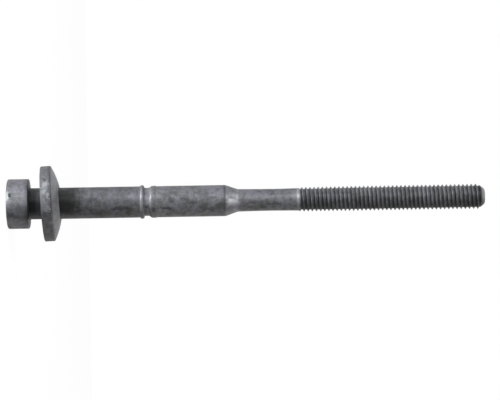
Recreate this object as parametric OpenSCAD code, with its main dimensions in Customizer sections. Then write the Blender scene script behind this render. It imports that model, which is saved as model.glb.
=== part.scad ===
// Clamp bolt for a fuel injector, with a loose washer that a rolled ring keeps on the shank.
// The bolt stands on its head: z = 0 is the head's end face and the thread points up.

/* [Head] */
// Diameter of the round head
head_d = 12; // [10.5:0.5:16]
// Height of the head
head_h = 5.2; // [5:0.1:10]
// Radius round the rim of the end face
head_rim_r = 0.45; // [0.3:0.05:1.4]
// Radius round the edge that faces the washer
head_back_r = 0.25; // [0.1:0.05:0.4]
// Radius of the fillet between head and shank
neck_r = 0.4; // [0.2:0.05:0.5]

/* [Hexagon socket] */
// Width across the flats of the socket
socket_af = 6; // [5:0.1:6.2]
// Depth of the socket's flats
socket_depth = 4.3; // [2:0.1:4.4]
// Depth of the shallow cone at the foot of the socket
socket_point_h = 0.4; // [0.2:0.1:0.6]
// Width of the bevel that leads a key into the socket
socket_bevel = 0.3; // [0.1:0.05:0.5]

/* [Shank] */
// Diameter of the shank
shank_d = 7.55; // [7:0.05:8.5]
// Length of the shank under the head, as far as the taper
shank_len = 47.4; // [40:0.1:80]
// Length of the taper between shank and waist
taper_len = 3; // [2:0.1:6]
// Radius on the taper's shoulder and at its foot
taper_r = 2; // [1:0.1:3]

/* [Waist and thread] */
// Diameter at the ends of the waist
waist_end_d = 5.44; // [5.2:0.02:6.2]
// How much thinner the middle of the waist is
waist_dip = 0.17; // [0.1:0.01:0.4]
// Length of the waist
waist_len = 15; // [10:0.1:40]
// Outside diameter of the thread
thread_d = 6; // [5.6:0.1:7]
// Length of the thread with its tip
thread_len = 44.6; // [20:0.1:80]
// Length of the ramp where the thread runs out towards the waist
runout_len = 0.7; // [0.4:0.1:1.5]
// Length of the cone at the tip
tip_len = 1.9; // [1:0.1:3]
// Diameter of the flat at the end of the tip
tip_d = 3.9; // [2:0.1:4.4]
// Radius round the edge of that flat
tip_r = 0.3; // [0.1:0.05:0.5]

/* [Retaining ring] */
// Free length of shank between the head and the ring
ring_z = 26.8; // [20:0.1:32]
// Width of the ring
ring_w = 1; // [0.6:0.05:1.6]
// How far the ring stands out past the washer's bore, on the radius
ring_lip = 0.1; // [0.08:0.01:0.3]
// Depth of the rolled groove behind the ring, on the radius
groove_depth = 0.375; // [0.2:0.025:0.6]
// Width of the groove's floor
groove_w = 1.2; // [0.8:0.1:2]
// Length of the slope that climbs out of the groove
groove_ramp = 0.45; // [0.2:0.05:0.8]
// Width of the low swell beyond the groove
swell_w = 1.5; // [1:0.1:3]
// Height of that swell, on the radius
swell_h = 0.1; // [0.05:0.01:0.2]

/* [Washer] */
// Outside diameter of the washer
washer_d = 18.2; // [15:0.1:22]
// Height of the washer's straight rim
washer_rim_h = 2.4; // [1.9:0.05:3]
// Radius of the ball that the crown is part of
crown_ball_r = 19.5; // [15:0.5:24]
// Bevel on both edges of the bore
bore_bevel = 0.4; // [0.2:0.05:0.5]
// Radius on the edge between the rim and the flat face
washer_edge_r = 0.2; // [0.1:0.05:0.4]
// Gap between bore and shank where they come nearest
washer_clear = 0.09; // [0.05:0.01:0.3]
// Angle by which the loose washer leans on the shank
washer_lean = 2.9; // [2:0.1:5]
// Side to which its axis leans, counted from +x towards +y
washer_lean_side = 162; // [0:1:359]
// Free gap from the head to the middle of the washer's flat face
washer_gap = 3.25; // [2:0.05:8]

/* [Hidden] */
$fn = 96;

// A short overlap, so that cutters pass clean through the faces they open.
past = 0.5;
// Facets of the very large circle that hollows the waist, and of the crown's ball.
hollow_fn = 1440;
ball_fn = 360;

head_r = head_d / 2;
shank_r = shank_d / 2;
socket_r = socket_af / 2 / cos(30);

// Heights of the steps along the bolt, from the end face of the head to the tip.
taper_z = head_h + shank_len;
waist_z = taper_z + taper_len;
thread_z = waist_z + waist_len;
tip_z = thread_z + thread_len;

// The taper's angle to the bolt's axis, and how far its rounded foot runs on to the waist.
waist_end_r = waist_end_d / 2;
taper_a = atan((shank_r - waist_end_r) / taper_len);
foot_len = corner_run(taper_r, taper_a);

// The arc that hollows the waist, from the foot of the taper to the thread.
hollow_z = waist_z + foot_len;
hollow_len = thread_z - hollow_z;

// Distance from a corner that turns by angle a to where its rounding of radius r begins.
function corner_run(r, a) = r * tan(a / 2);

// Radius of the arc that rises by h over a chord w.
function arc_r(w, h) = (pow(w / 2, 2) + pow(h, 2)) / (2 * h);

// Height of the ball's surface above its centre, at a radius from the washer's axis.
function ball_rise(r) = sqrt(pow(crown_ball_r, 2) - pow(r, 2));

// The crown falls from the bore to the rim, and the leaning bore must still clear the shank.
function bore_for(h) = shank_d / cos(washer_lean) + h * tan(washer_lean) + 2 * washer_clear;
washer_h = washer_rim_h + ball_rise(shank_r) - ball_rise(washer_d / 2);
bore_d = bore_for(washer_h);
ball_z = washer_rim_h - ball_rise(washer_d / 2);

// The ring is rolled up wide enough to stop the washer.
ring_d = bore_d + 2 * ring_lip;
ring_low_z = head_h + ring_z;
groove_z = ring_low_z + ring_w;
swell_z = groove_z + groove_w + groove_ramp;

// The sliver between a corner and its rounding of radius r. The outline runs up to the corner
// along +y and turns left there by angle a. It is cut off a corner, or turned over to fill one.
module corner(r, a = 90) {
    run = corner_run(r, a);
    difference() {
        polygon([[0, -run], [0, 0], [-run * sin(a), run * cos(a)]]);
        translate([-r, -run])
            circle(r);
    }
}

// A bulge on a straight wall at radius wall_r: an arc over a chord w, and rise h at its middle.
module bulge(wall_r, w, h) {
    r = arc_r(w, h);
    intersection() {
        translate([wall_r + h - r, w / 2])
            circle(r);
        square([wall_r + h + past, w]);
    }
}

// Half section of the head, with its rounded edges.
module head_section() {
    difference() {
        square([head_r, head_h]);
        translate([head_r, 0])
            rotate(-90)
                corner(head_rim_r);
        translate([head_r, head_h])
            corner(head_back_r);
    }
    translate([shank_r, head_h])
        rotate(180)
            corner(neck_r);
}

// Half section of the shank, with the ring, its groove and the swell behind it.
module shank_section() {
    difference() {
        square([shank_r, taper_z - past]);
        polygon([
            [shank_r - groove_depth, groove_z],
            [shank_r + past, groove_z],
            [shank_r + past, groove_z + groove_w + groove_ramp * (1 + past / groove_depth)],
            [shank_r - groove_depth, groove_z + groove_w]
        ]);
    }
    translate([0, ring_low_z])
        bulge(shank_r, ring_w, ring_d / 2 - shank_r);
    translate([0, swell_z])
        bulge(shank_r, swell_w, swell_h);
}

// Half section of the taper and of the waist, which a very large arc hollows.
module waist_section() {
    hollow_r = arc_r(hollow_len, waist_dip / 2);
    difference() {
        union() {
            polygon([
                [0, taper_z - past],
                [shank_r, taper_z - past],
                [shank_r, taper_z],
                [waist_end_r, waist_z],
                [waist_end_r, thread_z],
                [0, thread_z]
            ]);
            translate([waist_end_r, waist_z])
                rotate(180)
                    corner(taper_r, taper_a);
        }
        translate([shank_r, taper_z])
            corner(taper_r, taper_a);
        intersection() {
            translate([waist_end_r - waist_dip / 2 + hollow_r, hollow_z + hollow_len / 2])
                circle(hollow_r, $fn = hollow_fn);
            translate([0, hollow_z])
                square([shank_r, hollow_len]);
        }
    }
}

// Half section of the thread at its full diameter, with its run-out and its tip.
module thread_section() {
    thread_r = thread_d / 2;
    tip_a = atan((thread_r - tip_d / 2) / tip_len);
    difference() {
        polygon([
            [0, thread_z],
            [waist_end_r, thread_z],
            [thread_r, thread_z + runout_len],
            [thread_r, tip_z - tip_len],
            [tip_d / 2, tip_z],
            [0, tip_z]
        ]);
        translate([tip_d / 2, tip_z])
            rotate(tip_a)
                corner(tip_r, 90 - tip_a);
    }
}

// The hexagon recess in the end face, with a bevelled mouth and a shallow point.
module socket() {
    bevel_r = socket_r + socket_bevel;
    translate([0, 0, -past])
        cylinder(h = past + socket_depth, r = socket_r, $fn = 6);
    translate([0, 0, socket_depth])
        cylinder(h = socket_point_h, r1 = socket_af / 2 - socket_bevel, r2 = 0.2);
    translate([0, 0, -past])
        cylinder(h = past + socket_bevel, r1 = bevel_r + past, r2 = bevel_r - socket_bevel);
}

module bolt() {
    color([0.42, 0.42, 0.44])
        difference() {
            rotate_extrude() {
                head_section();
                shank_section();
                waist_section();
                thread_section();
            }
            socket();
        }
}

// Half section of the washer, from its flat face up to the crown.
module washer_section() {
    difference() {
        intersection() {
            square([washer_d / 2, ball_z + crown_ball_r]);
            translate([0, ball_z])
                circle(crown_ball_r, $fn = ball_fn);
        }
        translate([washer_d / 2, 0])
            rotate(-90)
                corner(washer_edge_r);
        square([bore_d / 2, ball_z + crown_ball_r]);
        bore_mouth(0, -1);
        bore_mouth(ball_z + ball_rise(bore_d / 2), 1);
    }
}

// The bevel at one end of the bore, at height z and opening up (side 1) or down (side -1).
module bore_mouth(z, side) {
    inner = bore_d / 2 - past;
    outer = bore_d / 2 + bore_bevel + past;
    polygon([
        [inner, z - side * (bore_bevel + past)],
        [outer, z + side * past],
        [inner, z + side * past]
    ]);
}

module washer() {
    color([0.45, 0.45, 0.47])
        translate([0, 0, head_h + washer_gap + washer_h / 2])
            rotate([0, washer_lean, washer_lean_side])
                translate([0, 0, -washer_h / 2])
                    rotate_extrude()
                        washer_section();
}

bolt();
washer();
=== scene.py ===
import math

import bmesh
import bpy
from mathutils import Matrix, Vector, noise


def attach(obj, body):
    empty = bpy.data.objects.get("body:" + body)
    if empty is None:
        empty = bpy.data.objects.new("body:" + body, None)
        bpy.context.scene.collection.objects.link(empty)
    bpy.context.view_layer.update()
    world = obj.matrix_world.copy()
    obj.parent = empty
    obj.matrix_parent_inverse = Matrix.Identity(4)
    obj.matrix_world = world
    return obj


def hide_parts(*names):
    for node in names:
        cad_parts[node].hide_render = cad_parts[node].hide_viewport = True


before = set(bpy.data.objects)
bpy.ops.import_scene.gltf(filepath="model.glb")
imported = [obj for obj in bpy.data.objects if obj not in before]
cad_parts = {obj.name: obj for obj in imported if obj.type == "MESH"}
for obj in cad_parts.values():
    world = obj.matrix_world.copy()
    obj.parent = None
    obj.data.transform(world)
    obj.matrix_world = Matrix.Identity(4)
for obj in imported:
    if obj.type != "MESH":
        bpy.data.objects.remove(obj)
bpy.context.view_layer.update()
mm = 0.001  # everything below is modelled in millimetres and shrunk at the end
print("frame loaded", list(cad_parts))


# helpers for outlines and meshes

def arcAt(before, corner, after, radius, pieces):
    # points of the arc that rounds one corner of an outline
    back = (Vector(before) - Vector(corner)).normalized()
    ahead = (Vector(after) - Vector(corner)).normalized()
    half = back.angle(ahead) / 2
    run = radius / math.tan(half)
    centre = Vector(corner) + (back + ahead).normalized() * radius / math.sin(half)
    start = Vector(corner) + back * run - centre
    stop = Vector(corner) + ahead * run - centre
    turn = math.atan2(start.cross(stop), start.dot(stop))
    return [centre + Matrix.Rotation(turn * i / pieces, 2) @ start for i in range(pieces + 1)]


def roundedOutline(corners, pieces=6):
    # corners are (radius from the axis, height, rounding), and the two ends stay sharp
    points = [Vector(corners[0][:2])]
    for before, corner, after in zip(corners, corners[1:], corners[2:]):
        if corner[2]:
            points += arcAt(before[:2], corner[:2], after[:2], corner[2], pieces)
        else:
            points.append(Vector(corner[:2]))
    points.append(Vector(corners[-1][:2]))
    return points


def finer(points, step):
    # long runs get extra points, so that dents and bends have vertices to move
    filled = [points[0]]
    for a, b in zip(points, points[1:]):
        parts = max(1, math.ceil((b - a).length / step))
        filled += [a.lerp(b, i / parts) for i in range(1, parts + 1)]
    return filled


def outlineEdges(bm, points, closed=False):
    verts = [bm.verts.new((p.x, 0, p.y)) for p in points]
    pairs = list(zip(verts, verts[1:])) + ([(verts[-1], verts[0])] if closed else [])
    return verts + [bm.edges.new(pair) for pair in pairs]


def spinRound(bm, geom, steps):
    bmesh.ops.spin(bm, geom=geom, cent=(0, 0, 0), axis=(0, 0, 1), angle=math.tau,
                   steps=steps, use_merge=True)


def openLoop(bm, height, reach=0.01):
    # edges of the open rim that lies at one height
    return [e for e in bm.edges if e.is_boundary and all(abs(v.co.z - height) < reach for v in e.verts)]


def pulledLoop(bm, edges, move):
    # extrudes an open rim and moves its new vertices by a function
    grown = bmesh.ops.extrude_edge_only(bm, edges=edges)["geom"]
    for v in [g for g in grown if isinstance(g, bmesh.types.BMVert)]:
        v.co = move(v.co)
    return [g for g in grown if isinstance(g, bmesh.types.BMEdge) and g.is_boundary]


def finishedPiece(bm, name, body, node, material, sharpAngle=38):
    bmesh.ops.remove_doubles(bm, verts=bm.verts, dist=0.0005)
    bmesh.ops.recalc_face_normals(bm, faces=bm.faces)
    bmesh.ops.scale(bm, vec=(mm, mm, mm), verts=bm.verts)
    mesh = bpy.data.meshes.new(name)
    bm.to_mesh(mesh)
    bm.free()
    mesh.polygons.foreach_set("use_smooth", [True] * len(mesh.polygons))
    mesh.set_sharp_from_angle(angle=math.radians(sharpAngle))
    mesh.materials.append(material)
    piece = bpy.data.objects.new(name, mesh)
    bpy.context.scene.collection.objects.link(piece)
    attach(piece, body)
    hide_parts(node)
    print(name, "has", sum(len(p.vertices) - 2 for p in mesh.polygons), "triangles")
    return piece


# helpers for materials

def feed(tree, socket, value):
    if isinstance(value, bpy.types.NodeSocket):
        tree.links.new(value, socket)
    else:
        socket.default_value = value


def addNode(tree, kind, inputs=(), **settings):
    made = tree.nodes.new("ShaderNode" + kind)
    for name, value in settings.items():
        setattr(made, name, value)
    for key, value in dict(inputs).items():
        feed(tree, made.inputs[key], value)
    return made


def maths(tree, operation, *values, clamp=False):
    return addNode(tree, "Math", enumerate(values), operation=operation, use_clamp=clamp).outputs[0]


def vectors(tree, operation, *values):
    made = addNode(tree, "VectorMath", enumerate(values), operation=operation)
    return made.outputs["Value" if operation in ("LENGTH", "DISTANCE", "DOT_PRODUCT") else "Vector"]


def ranged(tree, value, low, high, toLow=0.0, toHigh=1.0, smooth=True):
    inputs = {0: value, 1: low, 2: high, 3: toLow, 4: toHigh}
    return addNode(tree, "MapRange", inputs, clamp=True,
                   interpolation_type="SMOOTHSTEP" if smooth else "LINEAR").outputs[0]


def speckle(tree, where, size, detail=3.0, rough=0.55, stretch=(1, 1, 1), shift=0.0):
    # noise whose blotches are about size across, in the units of where
    mapped = addNode(tree, "Mapping", {"Vector": where, "Location": (shift, shift * 1.7, shift * 0.6),
                                       "Scale": tuple(k / size for k in stretch)})
    return addNode(tree, "TexNoise", {"Vector": mapped.outputs[0], "Scale": 1.0, "Detail": detail,
                                      "Roughness": rough}).outputs["Fac"]


def blended(tree, share, first, second, mode="MIX"):
    made = addNode(tree, "Mix", data_type="RGBA", blend_type=mode)
    for key, value in ((0, share), (6, first), (7, second)):
        feed(tree, made.inputs[key], value)
    return made.outputs[2]


def grey(level, blue=0.0):
    return (level * (1 - blue), level, level * (1 + 2 * blue), 1)


# camera at the photograph's angle: the bolt lies across the picture with its thread to the right

shot = {
    "distance": 600,       # from the bolt's axis, mm
    "pixelsPerMm": 4.135,  # where the axis is
    "imageWidth": 500,
    "headFaceX": 7.9,      # image column of the head's end face
    "axisTilt": 0.964,     # how far the thread's end is raised in the picture, degrees
    "axisRise": -0.03,     # how far the axis passes above the picture's middle, mm
    "sensor": 36,
}


def makeCamera(s):
    camera = bpy.data.cameras.new("camera")
    camera.sensor_width = s["sensor"]
    camera.lens = s["sensor"] * s["distance"] * s["pixelsPerMm"] / s["imageWidth"]
    camera.clip_start, camera.clip_end = 0.01, 20
    holder = bpy.data.objects.new("camera", camera)
    tilt = math.radians(s["axisTilt"])
    right = Vector((math.sin(tilt), 0, math.cos(tilt)))
    up = Vector((-math.cos(tilt), 0, math.sin(tilt)))
    turn = Matrix((right, up, (0, -1, 0))).transposed().to_4x4()
    height = (s["imageWidth"] / 2 - s["headFaceX"]) / s["pixelsPerMm"]
    holder.matrix_world = Matrix.Translation(Vector((s["axisRise"], -s["distance"], height)) * mm) @ turn
    bpy.context.scene.collection.objects.link(holder)
    bpy.context.scene.camera = holder


# soft lamps: the strongest stand beyond the head, so that the head and the washer shade the shank

lampBox = {"away": 0.30, "width": 0.15, "height": 0.13}
coolLight, plainLight = (0.95, 0.985, 1.025), (1.0, 1.0, 1.0)
lamps = [
    {"name": "key", "towards": (-0.56, -0.50, -0.66), "power": 0.31, "colour": coolLight},
    {"name": "beyondHead", "towards": (-0.30, -0.30, -0.90), "power": 0.2, "colour": coolLight},
    {"name": "front", "towards": (-0.60, -0.78, 0.0), "power": 0.18, "colour": coolLight},
    {"name": "above", "towards": (-0.93, -0.15, -0.33), "power": 0.12, "colour": coolLight},
    {"name": "window", "towards": (0.0, -0.78, 0.63), "power": 0.17, "colour": plainLight},
    {"name": "overThread", "towards": (-0.50, -0.60, 0.62), "power": 0.36, "colour": plainLight},
]


def makeLamp(s, box, target):
    lamp = bpy.data.lights.new(s["name"], "AREA")
    lamp.shape = "RECTANGLE"
    lamp.size, lamp.size_y = box["width"], box["height"]
    lamp.energy = s["power"]
    lamp.color = s["colour"]
    lamp.cycles.use_multiple_importance_sampling = False
    holder = bpy.data.objects.new(s["name"], lamp)
    towards = Vector(s["towards"]).normalized()
    holder.location = target + towards * box["away"]
    holder.rotation_mode = "QUATERNION"
    holder.rotation_quaternion = (-towards).to_track_quat("-Z", "Y")
    holder.visible_camera = False
    bpy.context.scene.collection.objects.link(holder)


# pale paper behind and under the bolt, a dim room in front of it; the camera sees plain white everywhere

surround = {
    "front": 0.02, "lowFront": 0.02, "below": 0.5, "lowBack": 0.56, "behind": 0.8, "highBack": 0.4,
    "above": 0.06, "highFront": 0.02, "tints": {"below": (1.02, 1.0, 0.93), "lowBack": (1.01, 1.0, 0.96)},
}


def makeWorld(s):
    world = bpy.data.worlds.new("surround")
    bpy.context.scene.world = world
    world.use_nodes = True
    tree = world.node_tree
    tree.nodes.clear()
    where = addNode(tree, "TexCoord").outputs["Generated"]
    parts = addNode(tree, "SeparateXYZ", {0: where}).outputs
    # turns from the front round by the underside, 0 to 1
    turned = maths(tree, "ARCTAN2", maths(tree, "MULTIPLY", parts[0], -1), parts[1])
    turned = maths(tree, "MULTIPLY_ADD", turned, 1 / math.tau, 0.5)
    ramp = addNode(tree, "ValToRGB", {0: turned})
    stops = ("front", "lowFront", "below", "lowBack", "behind", "highBack", "above", "highFront", "front")
    for i, stop in enumerate(stops):
        mark = ramp.color_ramp.elements[i] if i < 2 else ramp.color_ramp.elements.new(i / 8)
        mark.position = i / 8
        mark.color = [s[stop] / 2 * k for k in s["tints"].get(stop, (1, 1, 1))] + [1]
    # the ramp holds half the light, and the strength doubles it
    seen = addNode(tree, "LightPath").outputs["Is Camera Ray"]
    back = addNode(tree, "Background", {0: blended(tree, seen, ramp.outputs[0], (0.5, 0.5, 0.5, 1)), 1: 2.0})
    out = addNode(tree, "OutputWorld")
    tree.links.new(back.outputs[0], out.inputs[0])


floorSizes = {"half": 300, "paint": 0.8, "bounce": 0.25, "shadowShare": 0.2, "glow": 1.15, "reflected": 0.25}


def makeFloor(s):
    bm = bmesh.new()
    bmesh.ops.create_grid(bm, x_segments=1, y_segments=1, size=s["half"] * mm)
    mesh = bpy.data.meshes.new("floor")
    bm.to_mesh(mesh)
    bm.free()
    material = bpy.data.materials.new("paleFloor")
    material.use_nodes = True
    tree = material.node_tree
    tree.nodes.clear()
    rays = addNode(tree, "LightPath").outputs
    seen = maths(tree, "MAXIMUM", rays["Is Camera Ray"],
                 maths(tree, "MAXIMUM", rays["Is Glossy Ray"], rays["Is Transmission Ray"]))
    paint = blended(tree, seen, grey(s["bounce"]), grey(s["paint"]))
    matt = addNode(tree, "BsdfDiffuse", {"Color": paint})
    level = addNode(tree, "Mix", data_type="FLOAT")
    for key, value in ((0, rays["Is Camera Ray"]), (2, s["reflected"]), (3, s["glow"])):
        feed(tree, level.inputs[key], value)
    glow = addNode(tree, "Emission", {"Color": (1, 1, 1, 1), "Strength": level.outputs[0]})
    share = maths(tree, "MULTIPLY", seen, 1 - s["shadowShare"])
    mixed = addNode(tree, "MixShader", {0: share, 1: matt.outputs[0], 2: glow.outputs[0]})
    out = addNode(tree, "OutputMaterial")
    tree.links.new(mixed.outputs[0], out.inputs[0])
    mesh.materials.append(material)
    floor = bpy.data.objects.new("floor", mesh)
    floor.visible_shadow = False  # the key lamp stands below it
    bpy.context.scene.collection.objects.link(floor)


# grey phosphated steel: mottled, dull, with rubbed bright places that are partly painted highlight, dark oily places
# that are partly painted shade, stains, and painted light and shade from side to side

def graded(tree, value, stops):
    # a level that follows value through (value, level) stops, with levels of up to 2
    low, high = stops[0][0], stops[-1][0]
    ramp = addNode(tree, "ValToRGB", {0: ranged(tree, value, low, high, smooth=False)})
    for i, (at, level) in enumerate(stops):
        place = (at - low) / (high - low)
        mark = ramp.color_ramp.elements[i] if i < 2 else ramp.color_ramp.elements.new(place)
        mark.position = place
        mark.color = (level / 2, level / 2, level / 2, 1)
    return maths(tree, "MULTIPLY", ramp.outputs[0], 2)


def wandering(tree, where, size, reach):
    # where, pushed about by noise, so that the edges of marks wander
    push = addNode(tree, "TexNoise", {"Vector": where, "Scale": 1 / size, "Detail": 2.0}).outputs["Color"]
    push = vectors(tree, "MULTIPLY", vectors(tree, "SUBTRACT", push, (0.5, 0.5, 0.5)), (2 * reach,) * 3)
    return vectors(tree, "ADD", where, push)


def steelTree(name, s):
    # colour, roughness and height that both pieces share, still to be marked
    material = bpy.data.materials.new(name)
    material.use_nodes = True
    tree = material.node_tree
    where = vectors(tree, "MULTIPLY", addNode(tree, "TexCoord").outputs["Object"], (1000, 1000, 1000))
    cloud = speckle(tree, where, 3.2, 3, shift=s["shift"])
    patch = speckle(tree, where, 1.1, 4, 0.62, shift=s["shift"] + 3)
    grain = speckle(tree, where, 0.3, 2, 0.6, shift=s["shift"] + 7)
    tone = maths(tree, "ADD", maths(tree, "MULTIPLY", cloud, 0.36),
                 maths(tree, "ADD", maths(tree, "MULTIPLY", patch, 0.46), maths(tree, "MULTIPLY", grain, 0.18)))
    tone = ranged(tree, tone, 0.36, 0.64)
    tint = blended(tree, ranged(tree, cloud, 0.4, 0.6), (*s["warmTint"], 1), (*s["violetTint"], 1))
    colour = blended(tree, tone, grey(s["dark"], s["blue"]), grey(s["light"], s["blue"]))
    parts = {
        "where": where, "wander": wandering(tree, where, s["wanderSize"], s["wander"]),
        "patch": patch, "grain": grain, "colour": vectors(tree, "MULTIPLY", colour, tint),
        "height": maths(tree, "ADD", patch, maths(tree, "MULTIPLY", grain, 0.6)),
    }
    return material, tree, parts


def spotMask(tree, where, at, reach, soft=0.35):
    # 1 inside an ellipsoid with soft edges
    far = vectors(tree, "LENGTH", vectors(tree, "DIVIDE", vectors(tree, "SUBTRACT", where, at), reach))
    return ranged(tree, far, 1 + soft, 1 - soft)


def marked(tree, colour, where, r, marks):
    # stains on the side that the picture shows: across and along the axis, half sizes, share, colour
    for across, along, tall, wide, share, stain in marks:
        at = (across, -math.sqrt(r * r - across * across), along)
        mask = spotMask(tree, where, at, (tall, 1.4, wide))
        colour = blended(tree, maths(tree, "MULTIPLY", mask, share), colour, stain)
    return colour


def lightened(tree, colour, factor):
    scaled = addNode(tree, "CombineXYZ", {0: factor, 1: factor, 2: factor}).outputs[0]
    return vectors(tree, "MULTIPLY", colour, scaled)


def finishSteel(tree, parts, s):
    shader = tree.nodes["Principled BSDF"]
    bump = addNode(tree, "Bump", {"Strength": 1.0, "Distance": s["bump"] * mm, "Height": parts["height"]})
    rubbed, gleam = parts["rubbed"], parts["gleam"]
    # worn places get bare metal and a light colour that is partly painted highlight
    colour = blended(tree, rubbed, parts["colour"], grey(s["bareAndHighlight"], s["bareBlue"]))
    rough = ranged(tree, rubbed, 0, 1, s["rough"], s["bareRough"], smooth=False)
    metal = ranged(tree, rubbed, 0, 1, s["metal"], s["bareMetal"], smooth=False)
    # the gleam paints a near-white highlight
    if gleam:
        colour = blended(tree, gleam, colour, grey(0.9))
        rough = addNode(tree, "Mix", {0: gleam, 2: rough, 3: s["gleamRough"]}, data_type="FLOAT").outputs[0]
        metal = maths(tree, "MAXIMUM", metal, gleam)
    feed(tree, shader.inputs["Base Color"], colour)
    feed(tree, shader.inputs["Roughness"], rough)
    feed(tree, shader.inputs["Metallic"], metal)
    shader.inputs["Specular IOR Level"].default_value = s["shine"]
    feed(tree, shader.inputs["Normal"], bump.outputs[0])


def boltFinish(s, b):
    material, tree, parts = steelTree("greyBoltSteel", s)
    where, wander, patch, grain = parts["where"], parts["wander"], parts["patch"], parts["grain"]
    split = addNode(tree, "SeparateXYZ", {0: where}).outputs
    along = split[2]
    away = vectors(tree, "LENGTH", vectors(tree, "MULTIPLY", where, (1, 1, 0)))
    # side runs from -1 at the picture's top edge to 1 at its bottom edge
    side = maths(tree, "DIVIDE", split[0], maths(tree, "MAXIMUM", away, 0.5))
    threadZ = b["headH"] + b["shankL"] + b["taperL"] + b["waistL"] - b["early"]
    onHead = ranged(tree, along, b["headH"] + 0.1, b["headH"] - 0.1)
    onThread = ranged(tree, along, threadZ + b["early"], threadZ + b["early"] + 0.3)
    # painted light and shade: each stretch is painted lighter or darker from one side to the other, and along the bolt
    factor = addNode(tree, "Mix", {0: onHead, 2: graded(tree, side, s["shankSides"]), 3: graded(tree, side, s["headSides"])},
                     data_type="FLOAT").outputs[0]
    factor = addNode(tree, "Mix", {0: onThread, 2: factor, 3: graded(tree, side, s["threadSides"])},
                     data_type="FLOAT").outputs[0]
    factor = maths(tree, "MULTIPLY", factor, graded(tree, along, s["stretches"]))
    # the share of a turn past the crest, which climbs once round for each pitch
    round = maths(tree, "DIVIDE", maths(tree, "ARCTAN2", split[1], split[0]), math.tau)
    past = maths(tree, "FRACT", maths(tree, "SUBTRACT", maths(tree, "SUBTRACT", along, threadZ + b["early"]), round))
    # painted light and shade on the thread's flanks: the flank away from the head lighter, the flank towards the head
    # darker
    coilShare = maths(tree, "MULTIPLY", onThread, graded(tree, side, s["coilSides"]))
    coil = addNode(tree, "Mix", {0: coilShare, 2: 1.0, 3: graded(tree, past, s["coilShades"])}, data_type="FLOAT").outputs[0]
    factor = maths(tree, "MULTIPLY", factor, coil)
    colour = lightened(tree, parts["colour"], factor)
    # how strongly the oil, the dark bands and their painted shade show, from side to side
    shadeAndDirt = graded(tree, side, s["shadeAndDirtSides"])
    # oil and painted shade by the washer, where its shadow falls on the shank, fading along the shank
    ragged = maths(tree, "ADD", along, maths(tree, "MULTIPLY", maths(tree, "SUBTRACT", patch, 0.5), s["oilAndShadeRagged"]))
    oilyAndShaded = maths(tree, "MULTIPLY", ranged(tree, along, s["oilAndShadeFrom"], s["oilAndShadeFrom"] + s["oilAndShadeRise"]),
                 ranged(tree, ragged, s["oilAndShadeTo"] + s["oilAndShadeFade"], s["oilAndShadeTo"]))
    oilyAndShaded = maths(tree, "MULTIPLY", maths(tree, "MULTIPLY", oilyAndShaded, shadeAndDirt), s["oilAndShade"])
    colour = blended(tree, oilyAndShaded, colour, (0.012, 0.0135, 0.010, 1))
    # thread: roots painted black, for dirt and painted shade; crests worn and lighter, partly painted highlight
    depth = ranged(tree, away, b["threadD"] / 2 - s["crestDeep"], b["threadD"] / 2 - s["rootDeep"])
    depth = maths(tree, "MULTIPLY", maths(tree, "MULTIPLY", depth, onThread), graded(tree, side, s["rootSides"]))
    colour = blended(tree, maths(tree, "MULTIPLY", depth, s["root"]), colour, (0.010, 0.010, 0.015, 1))
    crestWearAndHighlight = ranged(tree, away, b["threadD"] / 2 - 0.2, b["threadD"] / 2 - 0.07)
    crestWearAndHighlight = maths(tree, "MULTIPLY", maths(tree, "MULTIPLY", crestWearAndHighlight, onThread), ranged(tree, patch, 0.3, 0.65, 0.15, 1.0))
    crestWearAndHighlight = maths(tree, "MULTIPLY", crestWearAndHighlight, graded(tree, side, s["highlightSides"]))
    # dark bands round the bolt, then the stains
    # painted shade, partly dirt: dark bands at the head's back edge, in the neck, beside the ring and the swell, at the
    # taper's shoulder and at the thread's end
    rings = maths(tree, "MULTIPLY", graded(tree, along, s["darkRings"]), ranged(tree, patch, 0.3, 0.5, 0.85, 1.0))
    colour = blended(tree, maths(tree, "MULTIPLY", rings, shadeAndDirt), colour, (0.012, 0.014, 0.013, 1))
    colour = marked(tree, colour, wander, b["headD"] / 2, s["headMarks"])
    colour = marked(tree, colour, wander, b["shankD"] / 2, s["shankMarks"])
    colour = marked(tree, colour, wander, b["waistD"] / 2, s["waistMarks"])
    parts["colour"] = colour
    # rubbed bare metal, its light colour partly painted highlight: flank of the ring, slope behind its groove, start of
    # the thread, cone of the tip
    rubbed = maths(tree, "MULTIPLY", graded(tree, along, s["bareAndHighlightRings"]), ranged(tree, grain, 0.2, 0.5, 0.7, 1.0))
    rubbed = maths(tree, "MULTIPLY", rubbed, graded(tree, side, s["highlightSides"]))
    rubbed = maths(tree, "MAXIMUM", rubbed, maths(tree, "MULTIPLY", crestWearAndHighlight, s["crest"]))
    for at, reach, share in s["rubbedSpots"]:
        spot = maths(tree, "MULTIPLY", spotMask(tree, wander, at, reach, 0.45), share)
        rubbed = maths(tree, "MAXIMUM", rubbed, spot)
    parts["rubbed"] = rubbed
    # the gleam is a painted highlight: a near-white metal spot on the head's rim
    parts["gleam"] = maths(tree, "MULTIPLY", spotMask(tree, where, *s["gleam"]), s["gleamShare"])
    # painted shade: a dark spot in the nick's pit, which also takes the gleam away there
    nickShade = spotMask(tree, wander, *s["nickShade"])
    parts["gleam"] = maths(tree, "MULTIPLY", parts["gleam"], maths(tree, "SUBTRACT", 1.0, nickShade))
    parts["colour"] = blended(tree, maths(tree, "MULTIPLY", nickShade, 0.85), parts["colour"], (0.02, 0.02, 0.022, 1))
    finishSteel(tree, parts, s)
    return material


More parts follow.
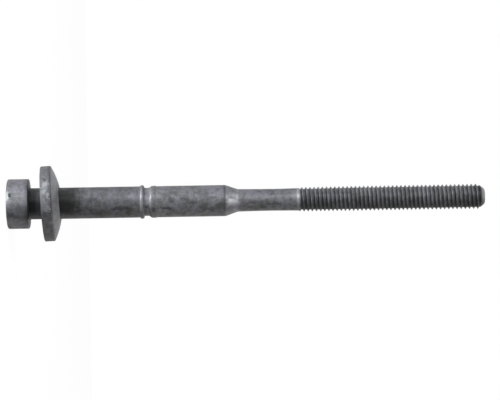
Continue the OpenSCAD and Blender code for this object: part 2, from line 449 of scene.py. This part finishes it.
def washerFinish(s, w, place):
    material, tree, parts = steelTree("greyWasherSteel", s)
    where, wander, patch, grain = parts["where"], parts["wander"], parts["patch"], parts["grain"]
    # height over the flat face and distance from the washer's own leaning axis
    axis = place.to_3x3() @ Vector((0, 0, 1))
    off = vectors(tree, "SUBTRACT", where, place.translation)
    along = vectors(tree, "DOT_PRODUCT", off, axis)
    lift = addNode(tree, "CombineXYZ", {0: along, 1: along, 2: along}).outputs[0]
    away = vectors(tree, "LENGTH", vectors(tree, "SUBTRACT", off, vectors(tree, "MULTIPLY", lift, axis)))
    side = maths(tree, "DIVIDE", addNode(tree, "SeparateXYZ", {0: off}).outputs[0], w["outerD"] / 2)
    onRim = maths(tree, "MULTIPLY", ranged(tree, away, w["outerD"] / 2 - 0.3, w["outerD"] / 2 - 0.1),
                  ranged(tree, along, w["rimH"] + 0.05, w["rimH"] - 0.05))
    # painted light and shade: the rim and the crown painted lighter or darker from one side to the other
    factor = addNode(tree, "Mix", {0: onRim, 2: graded(tree, side, s["crownSides"]), 3: graded(tree, side, s["rimSides"])},
                     data_type="FLOAT").outputs[0]
    colour = lightened(tree, parts["colour"], factor)
    # darker along the edge between rim and crown, reaching further over the crown on the lower side
    reach = graded(tree, side, s["edgeReach"])
    onCrown = maths(tree, "MULTIPLY", ranged(tree, away, maths(tree, "SUBTRACT", w["outerD"] / 2 - 0.15, reach),
                                             w["outerD"] / 2 - 0.15), ranged(tree, along, w["rimH"] - 0.05, w["rimH"]))
    belowEdge = maths(tree, "MULTIPLY", ranged(tree, along, w["rimH"] - 0.8, w["rimH"] - 0.1), onRim)
    edge = maths(tree, "MAXIMUM", onCrown, maths(tree, "MULTIPLY", belowEdge, graded(tree, side, s["rimReach"])))
    edge = maths(tree, "MULTIPLY", edge, ranged(tree, patch, 0.3, 0.55, 0.7, 1.0))
    colour = blended(tree, maths(tree, "MULTIPLY", edge, s["edgeDarkening"]), colour, (0.03, 0.03, 0.034, 1))
    parts["colour"] = marked(tree, colour, wander, w["outerD"] / 2, s["marks"])
    # curls and flecks of bare metal on the part of the rim that faces the lamps, their light colour partly painted
    # highlight
    curls = speckle(tree, wander, 0.75, 2, 0.5, shift=21)
    zone = maths(tree, "MULTIPLY", graded(tree, side, s["fleckSides"]), onRim)
    rubbed = maths(tree, "MULTIPLY", ranged(tree, curls, 0.5, 0.68), zone)
    for at, reach, share in s["rubbedSpots"]:
        spot = maths(tree, "MULTIPLY", spotMask(tree, wander, at, reach, 0.45), share)
        rubbed = maths(tree, "MAXIMUM", rubbed, spot)
    parts["rubbed"] = rubbed
    parts["gleam"] = None
    finishSteel(tree, parts, s)
    return material


black, violet = (0.016, 0.016, 0.018, 1), (0.04, 0.036, 0.05, 1)
olive, brown = (0.055, 0.058, 0.035, 1), (0.10, 0.075, 0.07, 1)
pale = (0.34, 0.345, 0.36, 1)

boltSteel = {
    "dark": 0.105, "light": 0.235, "blue": 0.025, "metal": 0.18, "bump": 0.03, "shift": 0.0, "shine": 0.34,
    "warmTint": (1.02, 1.0, 0.985), "violetTint": (1.03, 0.995, 1.06),
    "rough": 0.42, "bareAndHighlight": 0.62, "bareBlue": 0.02, "bareRough": 0.32, "bareMetal": 0.6, "wanderSize": 0.9, "wander": 0.58,
    "oilAndShade": 0.95, "oilAndShadeFrom": 8.5, "oilAndShadeRise": 1.6, "oilAndShadeTo": 15.0, "oilAndShadeFade": 5.5, "oilAndShadeRagged": 5,
    "root": 0.62, "crestDeep": 0.08, "rootDeep": 0.4, "crest": 0.25,
    # painted light and shade on the thread's flanks, from crest to crest: the side away from the head first, then the
    # root at 0.5, then the side towards the head
    "coilShades": [(0, 0.66), (0.05, 0.75), (0.18, 1.1), (0.3, 1.3), (0.44, 1.4), (0.52, 1.0), (0.58, 0.62),
                   (0.7, 0.36), (0.82, 0.26), (0.93, 0.5), (1, 0.66)],
    "coilSides": [(-1, 0.3), (-0.8, 0.8), (-0.5, 1), (0, 1), (0.3, 0.8), (0.7, 0.55), (1, 0.4)],
    "rootSides": [(-1, 0.7), (-0.6, 1), (0.1, 1), (0.5, 0.6), (1, 0.5)],
    # from the picture's top edge to its bottom edge: painted light and shade, then how strongly the painted shade with
    # dirt and the painted highlight show
    "shankSides": [(-1, 1.0), (-0.6, 1.0), (-0.4, 1.05), (0.0, 1.05), (0.3, 1.0), (0.65, 1.06), (0.85, 1.38), (1, 1.6)],
    "headSides": [(-1, 1.45), (-0.88, 1.35), (-0.72, 1.1), (-0.58, 1.15), (-0.48, 1.65), (-0.1, 1.85), (0.02, 1.6),
                  (0.12, 1.15), (0.2, 0.92), (0.3, 0.92), (0.42, 0.95), (0.5, 0.82), (0.58, 1.05), (0.68, 1.45),
                  (0.84, 1.9), (1, 2.0)],
    "threadSides": [(-1, 1.85), (-0.85, 1.7), (-0.4, 1.5), (0.0, 1.02), (0.3, 0.82), (1, 0.82)],
    "shadeAndDirtSides": [(-1, 0.3), (-0.88, 0.4), (-0.78, 0.85), (-0.6, 1.0), (0.0, 1.0), (0.2, 0.93), (0.5, 0.93), (0.65, 0.6), (0.8, 0.15), (1, 0)],
    "highlightSides": [(-1, 0.6), (-0.75, 1.0), (0.1, 1.0), (0.4, 0.45), (0.7, 0.25), (1, 0.25)],
    # height and share: stretches of painted light and shade, bands of painted shade and dirt, and of bare metal with
    # painted highlight
    "stretches": [(0, 1), (14, 0.9), (19, 0.87), (20, 0.82), (22, 0.82), (23.5, 0.85), (30, 0.85), (31.2, 1.05), (31.9, 1.1), (33.0, 0.9), (33.1, 1.1), (34.1, 1.6),
                  (34.3, 1.17), (36, 1.3), (37.3, 1.25), (39, 1.08), (51, 1.1), (51.8, 0.95), (52.3, 0.95), (53, 1.42), (55, 1.42), (57, 1.06), (69.5, 1.0),
                  (71.5, 0.85), (78, 1.0), (108, 1.0), (111.5, 0.9), (112.5, 0.6), (113.6, 0.5), (113.9, 0.9), (116, 0.9)],
    "darkRings": [(3.8, 0), (4.2, 0.08), (4.5, 0.2), (4.75, 0.33), (4.95, 0.42), (5.12, 0.42), (5.25, 0.95), (5.6, 0.98), (6.8, 0.98), (7.5, 0.65),
                  (9.0, 0.5), (12.0, 0), (32.6, 0), (32.75, 0.08), (33.0, 0.2), (33.25, 0.05), (34.75, 0.0), (34.95, 0.15),
                  (35.75, 0.15), (36.2, 0), (52.3, 0), (52.5, 0.8), (52.7, 0.5), (52.85, 0), (113.65, 0), (113.84, 1),
                  (114.2, 1), (114.38, 0), (116, 0)],
    "bareAndHighlightRings": [(31.85, 0), (32.0, 0.45), (32.44, 0.45), (32.7, 0), (34.22, 0), (34.36, 0.76), (34.66, 0.76), (34.8, 0.1), (35.9, 0),
                  (36.0, 0.2), (36.2, 0), (55.2, 0), (55.4, 0.25), (55.8, 0.25), (56.0, 0), (69.3, 0), (69.95, 0.25), (70.05, 0.85),
                  (70.38, 0.85), (70.5, 0), (114.2, 0), (114.38, 0.1), (114.8, 0.7), (115.5, 0.7)],
    # a painted highlight on the head's rim
    "gleam": ((-1.75, -5.7, 0.15), (1.32, 1.6, 0.5), 0.8), "gleamShare": 0.48, "gleamRough": 0.34,
    # painted shade in the nick beside it
    "nickShade": ((-2.15, -5.5, 1.0), (0.58, 1.0, 0.36), 0.35),
    "headMarks": [(-4.6, 3.1, 0.6, 0.9, 0.3, brown), (1.9, 5.3, 1.1, 0.5, 0.4, brown), (2.4, 1.4, 0.6, 1.0, 0.35, violet),
                  (3.2, 2.6, 0.5, 0.9, 0.3, violet), (0.2, 1.6, 0.4, 0.8, 0.3, violet)],
    "shankMarks": [(-0.37, 39.9, 0.85, 0.8, 0.26, black), (-0.5, 42.7, 0.5, 0.9, 0.3, black), (0.27, 45.3, 0.36, 1.1, 0.4, black),
                   (1.64, 38.4, 0.34, 1.5, 0.6, black), (-0.8, 49.6, 0.28, 1.0, 0.35, black), (1.2, 47.4, 1.2, 1.1, 0.45, olive),
                   (1.95, 49.2, 0.7, 0.9, 0.5, olive), (1.3, 51.3, 0.95, 1.2, 0.35, olive), (1.46, 27.5, 0.4, 2.5, 0.5, black),
                   (-0.9, 20.7, 0.8, 0.7, 0.5, violet), (-1.9, 19.4, 0.6, 0.7, 0.15, pale), (2.25, 22.7, 0.8, 2.2, 0.35, olive),
                   (1.75, 30.0, 0.5, 1.6, 0.4, olive), (1.25, 33.55, 0.4, 0.5, 0.6, black), (1.75, 35.3, 0.5, 0.45, 0.6, black), (1.7, 34.5, 0.7, 0.3, 0.45, black),
                   (1.95, 53.7, 0.5, 1.0, 0.3, violet)],
    "waistMarks": [(0.5, 60.0, 0.38, 1.5, 0.4, violet), (-1.3, 63.8, 0.3, 0.35, 0.45, black), (0.9, 64.4, 0.28, 2.1, 0.35, black),
                   (-1.2, 69.2, 1.3, 0.7, 0.35, pale), (1.7, 60.5, 0.5, 2.5, 0.3, olive)],
    # bare spots whose light colour is partly painted highlight, most on the taper
    "rubbedSpots": [((0.4, -3.2, 54.2), (0.75, 1.6, 1.2), 0.55), 
                    ((0.5, -2.9, 55.2), (0.7, 1.4, 0.7), 0.45), ((-1.6, -3.4, 29.8), (0.5, 1.0, 0.6), 0.12)],
}
washerSteel = {
    "dark": 0.12, "light": 0.225, "blue": 0.025, "metal": 0.18, "bump": 0.03, "shift": 11.0, "shine": 0.34,
    "warmTint": (1.02, 1.0, 0.985), "violetTint": (1.03, 0.995, 1.04),
    "rough": 0.42, "bareAndHighlight": 0.6, "bareBlue": 0.02, "bareRough": 0.34, "bareMetal": 0.6, "wanderSize": 0.8, "wander": 0.4,
    # painted light and shade on the rim and the crown, then where the flecks and the darker edge show, from the top
    # edge to the bottom edge
    "rimSides": [(-1, 1.1), (-0.6, 1.2), (0.0, 1.2), (0.12, 1.35), (0.17, 1.0), (0.22, 0.65), (0.4, 0.72), (0.55, 0.95),
                 (0.7, 1.25), (0.85, 1.3), (1, 1.3)],
    "crownSides": [(-1, 1.5), (-0.35, 1.45), (-0.1, 1.3), (0.02, 1.4), (0.13, 1.65), (0.28, 1.6), (0.42, 1.35), (0.6, 1.25), (1, 1.2)],
    "fleckSides": [(-0.75, 0), (-0.6, 0.25), (-0.5, 0.5), (0.15, 0.45), (0.25, 0), (1, 0)],
    "edgeDarkening": 0.7, "edgeReach": [(-1, 0.5), (-0.85, 0.75), (-0.1, 0.7), (0.3, 0.9), (0.7, 1.1), (0.95, 0.5), (1, 0.3)],
    "rimReach": [(-1, 0.5), (-0.6, 0.7), (-0.1, 0.8), (0.1, 0.5), (0.3, 0.2), (1, 0.1)],
    "marks": [(-5.5, 9.5, 0.35, 0.35, 0.6, black), (2.6, 9.6, 0.7, 0.5, 0.3, violet), (4.6, 11.0, 0.5, 0.6, 0.3, pale),
              (1.1, 10.2, 0.5, 0.7, 0.3, pale), (1.3, 9.0, 0.6, 0.4, 0.25, violet)],
    # bare spots on the rim whose light colour is partly painted highlight
    "rubbedSpots": [((-4.7, -7.8, 9.6), (0.65, 1.2, 0.6), 0.5), ((-2.9, -8.6, 9.4), (0.6, 1.2, 0.5), 0.4)],
}


# the bolt, in millimetres with its head's end face at height 0

bolt = {
    "headD": 12, "headH": 5.2, "headRimR": 0.45, "headBackR": 0.25, "neckR": 0.4,
    "socketAcross": 6, "socketDepth": 4.3, "socketPoint": 0.4, "socketBevel": 0.3,
    "shankD": 7.55, "shankL": 47.4, "taperL": 3, "taperR": 2,
    "waistD": 5.44, "waistDip": 0.17, "waistL": 15,
    "threadD": 6, "threadL": 44.6, "pitch": 1, "threadDepth": 0.43, "early": 0.28, "runIn": 0.45, "firstCrests": 0.975,
    "tipL": 1.6, "tipD": 3.55, "tipR": 0.4, "tipMore": 0.08,
    "ringAt": 26.8, "ringW": 1, "ringD": 8.157, "grooveDepth": 0.375, "grooveW": 1.2, "grooveRamp": 0.45,
    "swellW": 1.5, "swellH": 0.1,
    "dents": [((-2.35, -5.5, 0.1), (1.7, 2.0, 0.9), 0.14), ((-2.45, -5.5, 1.05), (0.7, 1.2, 0.4), 0.12),
              ((2.2, -5.6, 2.3), (1.4, 1.4, 1.2), 0.02)],
    "unevenness": 0.012, "dentSize": 1.6,
    "steps": 144, "threadSteps": 72,
}


def bulge(wallR, low, width, rise, pieces=8):
    # points of a low arc that stands on a straight wall
    r = (width ** 2 / 4 + rise ** 2) / (2 * rise)
    spread = math.asin(width / 2 / r)
    angles = [spread * (2 * i / pieces - 1) for i in range(pieces + 1)]
    return [Vector((wallR + rise - r + r * math.cos(a), low + width / 2 + r * math.sin(a))) for a in angles]


def boltOutline(s):
    # half section of the bolt from the mouth of its socket to the end of its waist
    headR, shankR, waistR = s["headD"] / 2, s["shankD"] / 2, s["waistD"] / 2
    mouthR = s["socketAcross"] / 2 / math.cos(math.pi / 6) + s["socketBevel"]
    ringZ = s["headH"] + s["ringAt"]
    grooveZ = ringZ + s["ringW"]
    swellZ = grooveZ + s["grooveW"] + s["grooveRamp"]
    taperZ = s["headH"] + s["shankL"]
    waistZ = taperZ + s["taperL"]
    threadZ = waistZ + s["waistL"] - s["early"]
    grooveR = shankR - s["grooveDepth"]
    head = roundedOutline([(mouthR, 0, 0), (headR, 0, s["headRimR"]), (headR, s["headH"], s["headBackR"]),
                           (shankR, s["headH"], s["neckR"]), (shankR, ringZ, 0)])
    ring = bulge(shankR, ringZ, s["ringW"], s["ringD"] / 2 - shankR)
    groove = roundedOutline([(shankR, grooveZ, 0), (grooveR, grooveZ, 0.06), (grooveR, grooveZ + s["grooveW"], 0.1),
                             (shankR, swellZ, 0)], 3)
    swell = bulge(shankR, swellZ, s["swellW"], s["swellH"])
    taper = roundedOutline([(shankR, swellZ + s["swellW"], 0), (shankR, taperZ, s["taperR"]),
                            (waistR, waistZ, s["taperR"]), (waistR, threadZ, 0)])
    return head + ring[1:] + groove[1:] + swell[1:] + taper[1:], waistZ, threadZ


def hexagonR(angle, across):
    # distance from the axis to the side of a hexagon with a corner on +x
    return across / 2 / math.cos((angle % (math.pi / 3)) - math.pi / 6)


def smoothShare(share):
    share = min(1, max(0, share))
    return share * share * (3 - 2 * share)


def dented(verts, dents, unevenness, size):
    # shallow dents and a slight unevenness, both towards the axis
    for v in verts:
        r = v.co.xy.length
        if r < 0.5:
            continue
        fall = unevenness * noise.noise(v.co / size)
        for at, reach, depth in dents:
            far = Vector(((v.co.x - at[0]) / reach[0], (v.co.y - at[1]) / reach[1], (v.co.z - at[2]) / reach[2])).length
            fall += depth * smoothShare(1 - far)
        v.co.xy *= 1 - fall / r


def cutSocket(bm, s):
    flatR = s["socketAcross"] / 2
    mouthR = flatR / math.cos(math.pi / 6) + s["socketBevel"]

    def onHexagon(co, z=None):
        r = hexagonR(math.atan2(co.y, co.x), s["socketAcross"])
        return Vector((co.x, co.y, 0)).normalized() * r + Vector((0, 0, mouthR - r if z is None else z))

    def onCircle(co, r, z):
        return Vector((co.x, co.y, 0)).normalized() * r + Vector((0, 0, z))

    rim = openLoop(bm, 0)
    rim = pulledLoop(bm, rim, onHexagon)
    rim = pulledLoop(bm, rim, lambda co: onHexagon(co, s["socketDepth"]))
    rim = pulledLoop(bm, rim, lambda co: onCircle(co, flatR - s["socketBevel"], s["socketDepth"]))
    rim = pulledLoop(bm, rim, lambda co: onCircle(co, 0.2, s["socketDepth"] + s["socketPoint"]))
    pulledLoop(bm, rim, lambda co: Vector((0, 0, s["socketDepth"] + s["socketPoint"])))


def cutThread(bm, s, threadZ):
    # one turn of the thread's form is spun up its helix, copied turn on turn, trimmed and closed at the tip
    topR = s["threadD"] / 2
    rootR = topR - s["threadDepth"] * s["pitch"]
    flankEnd = 0.0625 + s["threadDepth"] * math.tan(math.radians(30))
    form = roundedOutline([(topR, 0, 0), (topR, 0.0625, 0.06), (rootR, flankEnd, 0.12), (rootR, 0.5, 0)], 3)
    form += [Vector((p.x, s["pitch"] - p.y)) for p in reversed(form[:-1])]
    low = threadZ - 2
    turns = math.ceil(s["threadL"]) + 4
    first = outlineEdges(bm, [Vector((p.x, p.y + low)) for p in form])
    bmesh.ops.spin(bm, geom=first, cent=(0, 0, 0), axis=(0, 0, 1), angle=math.tau, steps=s["threadSteps"],
                   dvec=(0, 0, s["pitch"] / s["threadSteps"]))
    turn = bm.verts[:] + bm.edges[:] + bm.faces[:]
    made = 1
    while made < turns:
        more = bmesh.ops.duplicate(bm, geom=turn)["geom"]
        bmesh.ops.translate(bm, vec=(0, 0, made * s["pitch"]), verts=[g for g in more if isinstance(g, bmesh.types.BMVert)])
        turn += more
        made *= 2
    bmesh.ops.remove_doubles(bm, verts=bm.verts, dist=0.002)


def buildBolt(s):
    outline, waistZ, threadZ = boltOutline(s)
    tipZ = threadZ + s["early"] + s["threadL"] + s["tipMore"]
    bm = bmesh.new()
    spinRound(bm, outlineEdges(bm, finer(outline, 0.45)), s["steps"])
    hollow = s["waistDip"] / 2
    for v in bm.verts:
        share = (v.co.z - waistZ - 0.35) / (threadZ - waistZ - 0.35)
        if 0 < share < 1:
            v.co.xy *= 1 - hollow * (1 - (2 * share - 1) ** 2) / (s["waistD"] / 2)
    dented(bm.verts, s["dents"], s["unevenness"], s["dentSize"])
    cutSocket(bm, s)

    screw = bmesh.new()
    cutThread(screw, s, threadZ + s["early"])
    blankR, waistR = s["threadD"] / 2, s["waistD"] / 2
    coneFall = (blankR - s["tipD"] / 2) / s["tipL"]
    for v in screw.verts:
        r = v.co.xy.length
        grown = smoothShare((v.co.z - threadZ) / s["runIn"])
        full = s["firstCrests"] + (1 - s["firstCrests"]) * smoothShare((v.co.z - threadZ) / 16)
        full += 0.004 * noise.noise(v.co * 1.3)
        fixed = waistR + (r * full - waistR) * grown
        fixed = min(fixed, blankR - coneFall * (v.co.z - (tipZ - s["tipL"])))
        v.co.xy *= fixed / r
    gap = 0.06  # the waist ends this much below the thread, and the two are bridged
    for height, side in ((threadZ + gap, -1), (tipZ - s["tipR"] * 0.6, 1)):
        bmesh.ops.bisect_plane(screw, geom=screw.verts[:] + screw.edges[:] + screw.faces[:], dist=0.0005,
                               plane_co=(0, 0, height), plane_no=(0, 0, side), clear_outer=True)
    joined = bpy.data.meshes.new("screwPart")
    screw.to_mesh(joined)
    screw.free()
    bm.from_mesh(joined)
    bpy.data.meshes.remove(joined)
    bmesh.ops.bridge_loops(bm, edges=openLoop(bm, threadZ) + openLoop(bm, threadZ + gap))
    rim = openLoop(bm, tipZ - s["tipR"] * 0.6)
    flatR = s["tipD"] / 2
    for r, z in ((flatR - 0.02, 0.25), (flatR - 0.12, 0.07), (flatR - 0.28, 0), (flatR * 0.5, 0), (0, 0)):
        rim = pulledLoop(bm, rim, lambda co: Vector((co.x, co.y, 0)).normalized() * r + Vector((0, 0, tipZ - z * s["tipR"])))
    return finishedPiece(bm, "injector_bolt", "bolt", "bolt", boltFinish(boltSteel, s))


# the loose washer: flat towards the head, a shallow ball towards the thread

washer = {
    "outerD": 18.2, "rimH": 2.4, "ballR": 19.5, "boreBevel": 0.4, "edgeR": 0.2,
    "clear": 0.09, "lean": 2.9, "leanSide": 162, "gap": 3.25, "unevenness": 0.02, "dentSize": 1.4, "steps": 180,
}


def buildWasher(s, b):
    shankR, outerR = b["shankD"] / 2, s["outerD"] / 2
    lean = math.radians(s["lean"])

    def ballRise(r):
        return math.sqrt(s["ballR"] ** 2 - r ** 2)

    height = s["rimH"] + ballRise(shankR) - ballRise(outerR)
    boreR = (b["shankD"] / math.cos(lean) + height * math.tan(lean)) / 2 + s["clear"]
    base = s["rimH"] - ballRise(outerR)
    bevel = s["boreBevel"]
    topZ = base + ballRise(boreR)
    crown = [(r, base + ballRise(r), 0) for r in
             [outerR - (outerR - boreR - bevel) * i / 12 for i in range(1, 12)]]
    corners = [(boreR + bevel, 0, 0), (outerR, 0, s["edgeR"]), (outerR, s["rimH"], 0.08)] + crown
    corners += [(boreR + bevel, base + ballRise(boreR + bevel), 0), (boreR, topZ - bevel, 0), (boreR, bevel, 0)]
    bm = bmesh.new()
    spinRound(bm, outlineEdges(bm, finer(roundedOutline(corners, 4), 0.35), closed=True), s["steps"])
    place = Matrix.Translation((0, 0, b["headH"] + s["gap"] + height / 2))
    place = place @ Matrix.Rotation(math.radians(s["leanSide"]), 4, "Z") @ Matrix.Rotation(lean, 4, "Y")
    place = place @ Matrix.Translation((0, 0, -height / 2))
    bmesh.ops.transform(bm, matrix=place, verts=bm.verts)
    dented([v for v in bm.verts if v.co.xy.length > 6], [], s["unevenness"], s["dentSize"])
    return finishedPiece(bm, "ball_washer", "washer", "washer", washerFinish(washerSteel, s, place))


bpy.context.scene.view_settings.view_transform = "Standard"
makeCamera(shot)
target = Vector((0, 0, 58 * mm))
for lampSettings in lamps:
    makeLamp(lampSettings, lampBox, target)
makeWorld(surround)
makeFloor(floorSizes)
print("camera, lamps and floor are set")
buildBolt(bolt)
buildWasher(washer, bolt)
